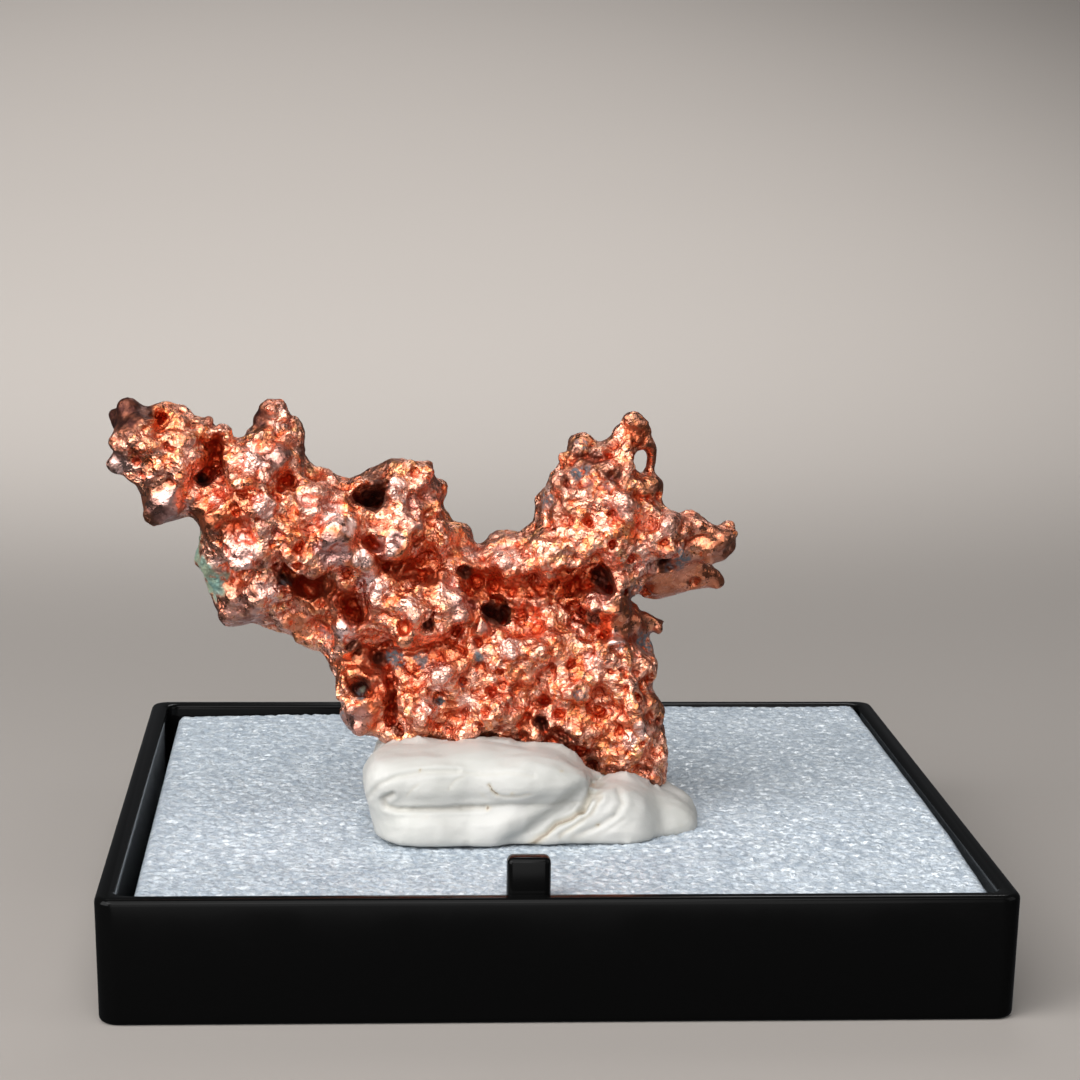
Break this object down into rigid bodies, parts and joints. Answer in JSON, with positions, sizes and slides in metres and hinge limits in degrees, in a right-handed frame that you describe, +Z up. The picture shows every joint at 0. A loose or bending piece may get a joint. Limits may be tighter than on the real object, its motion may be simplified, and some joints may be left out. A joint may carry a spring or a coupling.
{
  "type": "native copper specimen on display base",
  "caption": "Branching native copper nugget pressed into white putty, standing on the foam pad of a square black display base.",
  "frame": {"origin": "middle of the display base's flat underside", "axes": "+Z up, -Y towards the front edge of the base, +X to the right along that edge"},
  "size_m": [0.0575, 0.057, 0.0361],
  "materials": {
    "native_copper": "natural rough copper, bright pink-orange knobs, deep red crevices, a green and a few blue-grey patches",
    "white_putty": "kneaded mineral putty, matt, with folds and faint tan creases",
    "white_foam": "fine-celled white plastic foam, cool white, slightly sparkling",
    "black_plastic": "moulded polystyrene, glossy black"
  },
  "bodies": {
    "root": {"copper_nugget": "native_copper", "putty_mount": "white_putty", "foam_pad": "white_foam", "display_base": "black_plastic"}
  },
  "joints": []
}
